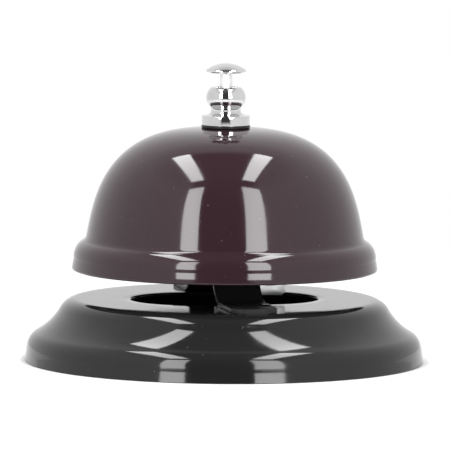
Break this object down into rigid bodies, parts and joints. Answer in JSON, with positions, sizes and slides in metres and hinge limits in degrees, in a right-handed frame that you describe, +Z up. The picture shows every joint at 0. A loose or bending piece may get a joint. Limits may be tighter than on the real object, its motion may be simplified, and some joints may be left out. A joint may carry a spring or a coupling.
{
  "type": "service bell",
  "caption": "Desk call bell: enamelled dome on a black stamped base, rung by pressing a small chrome cap that swings a hammer inside.",
  "frame": {"origin": "middle of the base's underside, on the surface it stands on", "axes": "+Z up along the plunger; +X along the slot, towards the hammer; +Y to the rear, along the bridge"},
  "size_m": [0.085, 0.085, 0.0635],
  "materials": {
    "bell_enamel": "deep aubergine gloss enamel on spun steel",
    "black_enamel": "black gloss enamel on stamped steel",
    "chrome": "bright chrome plating",
    "zinc_plate": "satin zinc plating",
    "spring_steel": "tempered spring steel, lightly oiled",
    "black_rubber": "matt black rubber",
    "grey_fibre": "pressed fibre, matt"
  },
  "bodies": {
    "base_body": {"base_shell": "black_enamel", "foot_ring": "black_rubber", "bridge_bracket": "black_enamel", "bridge_rivet_front_left": "black_enamel", "bridge_rivet_front_right": "black_enamel", "bridge_rivet_rear_left": "black_enamel", "bridge_rivet_rear_right": "black_enamel", "centre_post": "zinc_plate", "post_lock_washer": "spring_steel", "post_lock_nut": "zinc_plate", "seat_nut": "zinc_plate", "seat_washer": "grey_fibre", "bell": "bell_enamel", "crown_washer": "black_rubber", "crown_ferrule": "chrome", "return_spring": "spring_steel", "pivot_pin": "zinc_plate", "pivot_clip": "spring_steel"},
    "plunger": {"button_cap": "chrome", "plunger_rod": "zinc_plate", "plunger_clip": "spring_steel"},
    "striker": {"striker_lever": "zinc_plate", "hammer_arm": "spring_steel", "arm_rivet_inner": "zinc_plate", "arm_rivet_outer": "zinc_plate", "hammer_head": "zinc_plate"}
  },
  "joints": [
    {"name": "plunger_press", "type": "slide", "parent": "base_body", "child": "plunger", "axis": [0, 0, -1], "range_m": [0, 0.0028], "stiffness_N_per_m": 250, "springref_m": -0.004, "deforming": ["return_spring"]},
    {"name": "striker_swing", "type": "hinge", "parent": "base_body", "child": "striker", "pos_m": [0.009, 0, 0.018], "axis": [0, -1, 0], "range_deg": [0, 18]}
  ],
  "couplings": [
    {"joint": "striker_swing", "follows": "plunger_press", "rad_per_m": 111}
  ]
}
